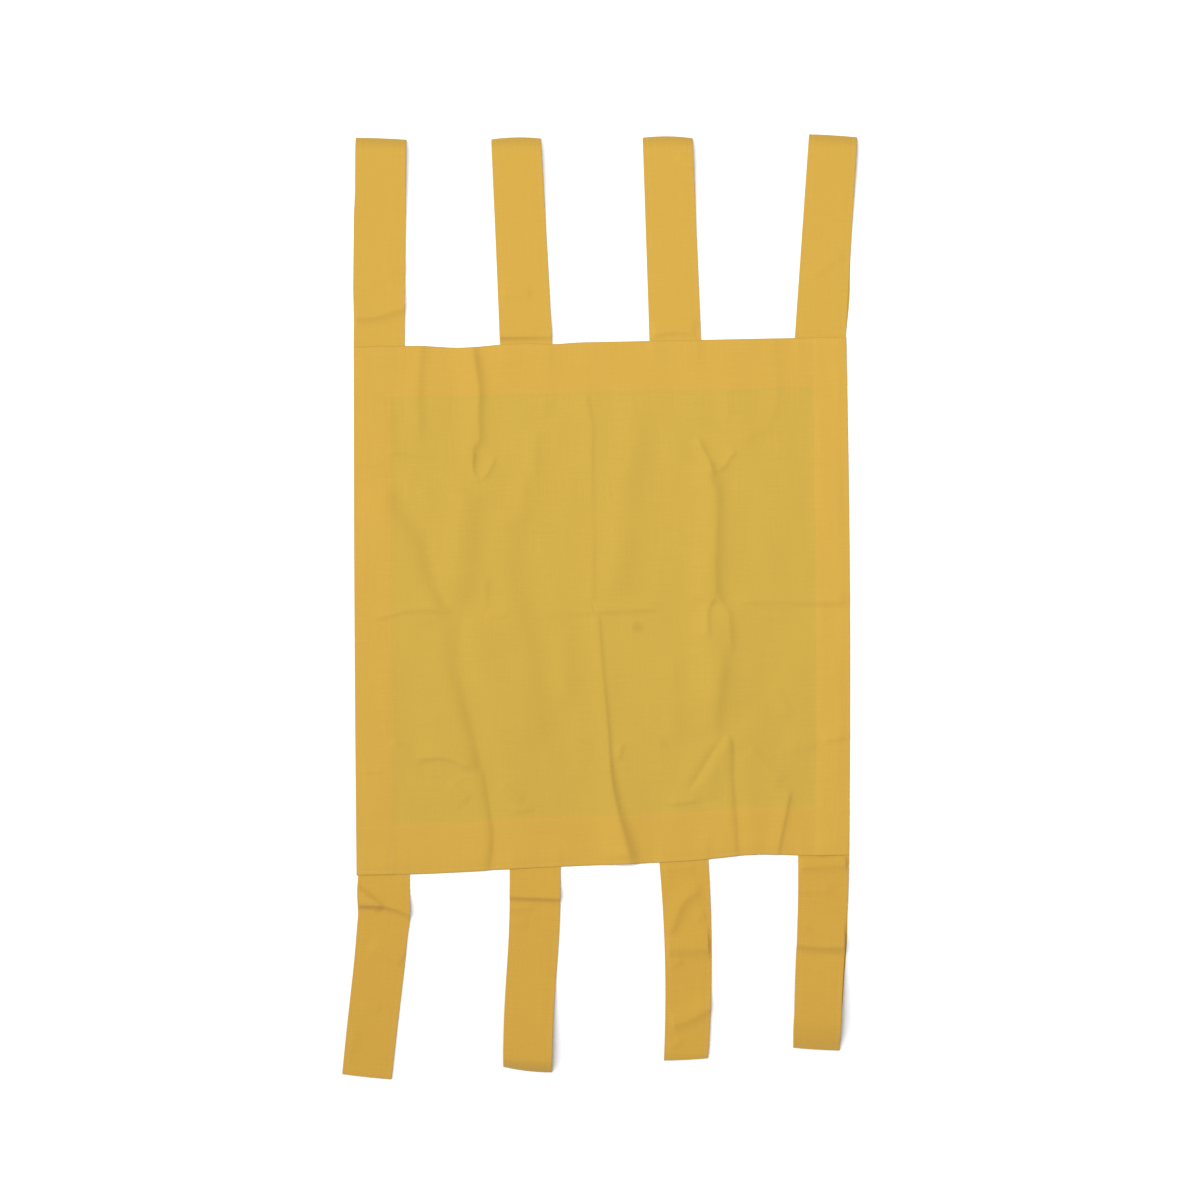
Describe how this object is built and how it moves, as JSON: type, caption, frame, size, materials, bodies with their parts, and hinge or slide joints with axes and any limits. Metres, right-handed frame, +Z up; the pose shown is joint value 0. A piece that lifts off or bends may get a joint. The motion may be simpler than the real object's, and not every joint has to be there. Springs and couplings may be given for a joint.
{
  "type": "loop tab cloth panel",
  "caption": "Yellow cotton cloth panel with wide hems and doubled loops sewn into its opposite edges, to be threaded on rods or rails.",
  "frame": {"origin": "centre of the footprint of the panel and its loops as they lie, on the surface they lie on", "axes": "+X across the panel, from its wide left hem to its narrower right hem; +Y from the bottom loops to the top loops; +Z up, out of the face"},
  "size_m": [0.5167, 0.9465, 0.0084],
  "materials": {
    "panel_cotton": "plain-weave yellow cotton, matt",
    "loop_cotton": "plain-weave yellow cotton, doubled, matt",
    "thread": "polyester sewing thread, slight sheen"
  },
  "bodies": {
    "panel": {"panel_cloth": "panel_cotton", "top_facing": "panel_cotton", "bottom_facing": "panel_cotton", "top_loop_1_tail": "loop_cotton", "top_loop_2_tail": "loop_cotton", "top_loop_3_tail": "loop_cotton", "top_loop_4_tail": "loop_cotton", "bottom_loop_1_tail": "loop_cotton", "bottom_loop_2_tail": "loop_cotton", "bottom_loop_3_tail": "loop_cotton", "bottom_loop_4_tail": "loop_cotton", "left_hem_stitching": "thread", "right_hem_stitching": "thread", "left_edge_stitching": "thread", "right_edge_stitching": "thread", "top_facing_stitching": "thread", "bottom_facing_stitching": "thread", "top_edge_stitching": "thread", "bottom_edge_stitching": "thread"},
    "top_loop_1": {"top_loop_1": "loop_cotton", "top_loop_1_left_stitching": "thread", "top_loop_1_right_stitching": "thread"},
    "top_loop_2": {"top_loop_2": "loop_cotton", "top_loop_2_left_stitching": "thread", "top_loop_2_right_stitching": "thread"},
    "top_loop_3": {"top_loop_3": "loop_cotton", "top_loop_3_left_stitching": "thread", "top_loop_3_right_stitching": "thread"},
    "top_loop_4": {"top_loop_4": "loop_cotton", "top_loop_4_left_stitching": "thread", "top_loop_4_right_stitching": "thread"},
    "bottom_loop_1": {"bottom_loop_1": "loop_cotton", "bottom_loop_1_left_stitching": "thread", "bottom_loop_1_right_stitching": "thread"},
    "bottom_loop_2": {"bottom_loop_2": "loop_cotton", "bottom_loop_2_left_stitching": "thread", "bottom_loop_2_right_stitching": "thread"},
    "bottom_loop_3": {"bottom_loop_3": "loop_cotton", "bottom_loop_3_left_stitching": "thread", "bottom_loop_3_right_stitching": "thread"},
    "bottom_loop_4": {"bottom_loop_4": "loop_cotton", "bottom_loop_4_left_stitching": "thread", "bottom_loop_4_right_stitching": "thread"}
  },
  "joints": [
    {"name": "top_loop_1_fold", "type": "hinge", "parent": "panel", "child": "top_loop_1", "pos_m": [-0.2198, 0.25901, 0.0042], "axis": [0.9998, 0.0203, 0], "range_deg": [0, 175]},
    {"name": "top_loop_2_fold", "type": "hinge", "parent": "panel", "child": "top_loop_2", "pos_m": [-0.0728, 0.262, 0.0042], "axis": [0.9998, 0.0203, 0], "range_deg": [0, 175]},
    {"name": "top_loop_3_fold", "type": "hinge", "parent": "panel", "child": "top_loop_3", "pos_m": [0.0762, 0.26503, 0.0042], "axis": [0.9998, 0.0203, 0], "range_deg": [0, 175]},
    {"name": "top_loop_4_fold", "type": "hinge", "parent": "panel", "child": "top_loop_4", "pos_m": [0.2212, 0.26798, 0.0042], "axis": [0.9998, 0.0203, 0], "range_deg": [0, 175]},
    {"name": "bottom_loop_1_fold", "type": "hinge", "parent": "panel", "child": "bottom_loop_1", "pos_m": [-0.2151, -0.2684, 0.0042], "axis": [-0.9992, -0.0406, 0], "range_deg": [0, 175]},
    {"name": "bottom_loop_2_fold", "type": "hinge", "parent": "panel", "child": "bottom_loop_2", "pos_m": [-0.0639, -0.26225, 0.0042], "axis": [-0.9992, -0.0406, 0], "range_deg": [0, 175]},
    {"name": "bottom_loop_3_fold", "type": "hinge", "parent": "panel", "child": "bottom_loop_3", "pos_m": [0.0848, -0.25621, 0.0042], "axis": [-0.9992, -0.0406, 0], "range_deg": [0, 175]},
    {"name": "bottom_loop_4_fold", "type": "hinge", "parent": "panel", "child": "bottom_loop_4", "pos_m": [0.2245, -0.25053, 0.0042], "axis": [-0.9992, -0.0406, 0], "range_deg": [0, 175]}
  ]
}
